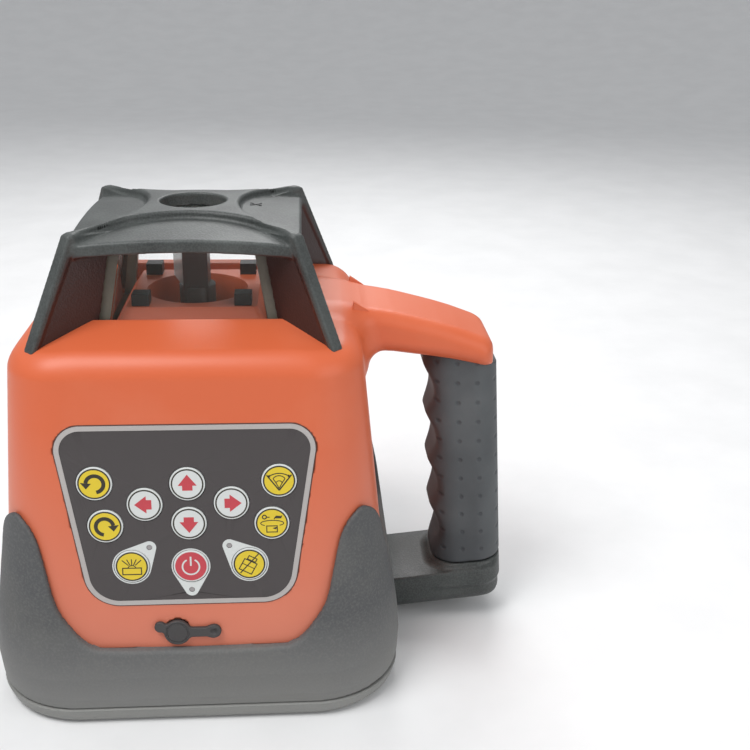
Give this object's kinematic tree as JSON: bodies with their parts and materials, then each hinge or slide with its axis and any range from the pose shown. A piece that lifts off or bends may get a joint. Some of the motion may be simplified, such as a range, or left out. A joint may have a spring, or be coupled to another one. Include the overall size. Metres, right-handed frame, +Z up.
{
  "type": "rotating laser level",
  "caption": "Self-levelling rotating laser level: tapered housing with glass lantern and spinning prism head, membrane keypad, side handle, rubber-skirted base with tripod threads.",
  "frame": {"origin": "axis of the tripod thread at the underside of the base, which is also the spinning head's axis", "axes": "+Z up along the head's axis; -Y towards the keypad; +X towards the carrying handle"},
  "size_m": [0.2099, 0.1604, 0.1868],
  "materials": {
    "orange_shell": "satin moulded ABS, fine grain",
    "rubber_grey": "matt grey overmoulded rubber",
    "base_grey": "matt light grey moulding",
    "dark_plastic": "dark grey moulding, fine spark texture",
    "panel_film": "warm grey printed film, silver-grey border",
    "key_yellow": "printed yellow key, white ring",
    "key_white": "printed white key, red arrow",
    "key_red": "printed red key",
    "led_lens": "small clear dome",
    "plug_rubber": "dark soft rubber",
    "black_plastic": "black moulding",
    "glass": "clear float glass, ground edges",
    "prism_glass": "polished prism with ground sides",
    "head_black": "black rotating head",
    "steel": "zinc-plated or turned steel",
    "aluminium": "die-cast aluminium",
    "brass": "turned brass",
    "board_green": "solder-masked circuit board",
    "battery_wrap": "plastic battery sleeve",
    "belt_rubber": "thin drive belt"
  },
  "bodies": {
    "body": {"base_plate": "base_grey", "base_seal": "rubber_grey", "rubber_skirt": "rubber_grey", "main_housing": "orange_shell", "housing_screws": "steel", "inner_platform": "orange_shell", "roof_cage": "dark_plastic", "plumb_window": "glass", "window_front": "glass", "window_back": "glass", "window_left": "glass", "window_right": "glass", "remote_receivers": "black_plastic", "lower_arm": "dark_plastic", "grip_core": "steel", "rubber_grip": "rubber_grey", "keypad_panel": "panel_film", "keypad_board": "board_green", "status_leds": "led_lens", "charge_socket": "black_plastic", "plug_anchor": "plug_rubber", "battery_tray": "black_plastic", "battery_cells": "battery_wrap", "battery_contacts": "steel", "tripod_insert": "brass", "side_tripod_insert": "brass", "main_board": "board_green", "alarm_buzzer": "black_plastic", "gimbal_frame": "aluminium", "levelling_motors": "steel"},
    "gimbal_ring": {"gimbal_ring": "aluminium"},
    "laser_carrier": {"laser_carrier": "aluminium", "laser_module": "black_plastic", "collimator_lens": "glass", "level_sensors": "brass", "head_bearings": "steel", "spin_motor": "steel", "drive_belt": "belt_rubber"},
    "spinning_head": {"rotor_head": "head_black", "pentaprism": "prism_glass", "head_pulley": "black_plastic"},
    "motor_pulley": {"motor_pulley": "steel"},
    "lead_screw_ring": {"lead_screw_ring": "steel"},
    "lead_screw_carrier": {"lead_screw_carrier": "steel"},
    "levelling_nut_ring": {"levelling_nut_ring": "brass"},
    "levelling_nut_carrier": {"levelling_nut_carrier": "brass"},
    "battery_door": {"battery_door": "base_grey"},
    "door_latch": {"door_latch": "black_plastic"},
    "charge_plug": {"charge_plug": "plug_rubber"},
    "key_ccw": {"key_ccw": "key_yellow"},
    "key_cw": {"key_cw": "key_yellow"},
    "key_scan": {"key_scan": "key_yellow"},
    "key_speed": {"key_speed": "key_yellow"},
    "key_left": {"key_left": "key_white"},
    "key_right": {"key_right": "key_white"},
    "key_up": {"key_up": "key_white"},
    "key_down": {"key_down": "key_white"},
    "key_power": {"key_power": "key_red"},
    "key_tilt_alarm": {"key_tilt_alarm": "key_yellow"},
    "key_manual": {"key_manual": "key_yellow"}
  },
  "joints": [
    {"name": "tilt_ring", "type": "hinge", "parent": "body", "child": "gimbal_ring", "pos_m": [0, 0, 0.105], "axis": [1, 0, 0], "range_deg": [-5, 5]},
    {"name": "tilt_carrier", "type": "hinge", "parent": "gimbal_ring", "child": "laser_carrier", "pos_m": [0, 0, 0.105], "axis": [0, 1, 0], "range_deg": [-5, 5]},
    {"name": "head_spin", "type": "hinge", "parent": "laser_carrier", "child": "spinning_head", "pos_m": [0, 0, 0.105], "axis": [0, 0, 1], "continuous": true},
    {"name": "motor_spin", "type": "hinge", "parent": "laser_carrier", "child": "motor_pulley", "pos_m": [0, -0.024, 0.12], "axis": [0, 0, 1], "continuous": true},
    {"name": "screw_turn_ring", "type": "hinge", "parent": "body", "child": "lead_screw_ring", "pos_m": [0, 0.038, 0.08], "axis": [0, 0, 1], "range_deg": [-600, 600]},
    {"name": "screw_turn_carrier", "type": "hinge", "parent": "body", "child": "lead_screw_carrier", "pos_m": [-0.044, 0, 0.08], "axis": [0, 0, 1], "range_deg": [-695, 695]},
    {"name": "nut_lift_ring", "type": "slide", "parent": "body", "child": "levelling_nut_ring", "axis": [0, 0, 1], "range_m": [-0.0034, 0.0034]},
    {"name": "nut_lift_carrier", "type": "slide", "parent": "body", "child": "levelling_nut_carrier", "axis": [0, 0, 1], "range_m": [-0.0039, 0.0039]},
    {"name": "battery_door_hinge", "type": "hinge", "parent": "body", "child": "battery_door", "pos_m": [-0.069, 0, 0.003], "axis": [0, 1, 0], "range_deg": [0, 100]},
    {"name": "door_latch_turn", "type": "hinge", "parent": "battery_door", "child": "door_latch", "pos_m": [-0.0225, 0, 0.002], "axis": [0, 0, 1], "range_deg": [0, 90]},
    {"name": "charge_plug_flap", "type": "hinge", "parent": "body", "child": "charge_plug", "pos_m": [0.0038, -0.07595, 0.0395], "axis": [0, 0.1045, 0.9945], "range_deg": [0, 95], "stiffness_Nm_per_rad": 0.002},
    {"name": "key_ccw_press", "type": "slide", "parent": "body", "child": "key_ccw", "axis": [0, 0.9945, -0.1045], "range_m": [0, 0.0006], "stiffness_N_per_m": 400},
    {"name": "key_cw_press", "type": "slide", "parent": "body", "child": "key_cw", "axis": [0, 0.9945, -0.1045], "range_m": [0, 0.0006], "stiffness_N_per_m": 400},
    {"name": "key_scan_press", "type": "slide", "parent": "body", "child": "key_scan", "axis": [0, 0.9945, -0.1045], "range_m": [0, 0.0006], "stiffness_N_per_m": 400},
    {"name": "key_speed_press", "type": "slide", "parent": "body", "child": "key_speed", "axis": [0, 0.9945, -0.1045], "range_m": [0, 0.0006], "stiffness_N_per_m": 400},
    {"name": "key_left_press", "type": "slide", "parent": "body", "child": "key_left", "axis": [0, 0.9945, -0.1045], "range_m": [0, 0.0006], "stiffness_N_per_m": 400},
    {"name": "key_right_press", "type": "slide", "parent": "body", "child": "key_right", "axis": [0, 0.9945, -0.1045], "range_m": [0, 0.0006], "stiffness_N_per_m": 400},
    {"name": "key_up_press", "type": "slide", "parent": "body", "child": "key_up", "axis": [0, 0.9945, -0.1045], "range_m": [0, 0.0006], "stiffness_N_per_m": 400},
    {"name": "key_down_press", "type": "slide", "parent": "body", "child": "key_down", "axis": [0, 0.9945, -0.1045], "range_m": [0, 0.0006], "stiffness_N_per_m": 400},
    {"name": "key_power_press", "type": "slide", "parent": "body", "child": "key_power", "axis": [0, 0.9945, -0.1045], "range_m": [0, 0.0006], "stiffness_N_per_m": 400},
    {"name": "key_tilt_alarm_press", "type": "slide", "parent": "body", "child": "key_tilt_alarm", "axis": [0, 0.9945, -0.1045], "range_m": [0, 0.0006], "stiffness_N_per_m": 400},
    {"name": "key_manual_press", "type": "slide", "parent": "body", "child": "key_manual", "axis": [0, 0.9945, -0.1045], "range_m": [0, 0.0006], "stiffness_N_per_m": 400}
  ],
  "couplings": [
    {"joint": "motor_spin", "follows": "head_spin", "ratio": 3},
    {"joint": "screw_turn_ring", "follows": "tilt_ring", "ratio": 119.38},
    {"joint": "screw_turn_carrier", "follows": "tilt_carrier", "ratio": 138.23},
    {"joint": "nut_lift_ring", "follows": "tilt_ring", "m_per_rad": 0.038},
    {"joint": "nut_lift_carrier", "follows": "tilt_carrier", "m_per_rad": 0.044}
  ]
}
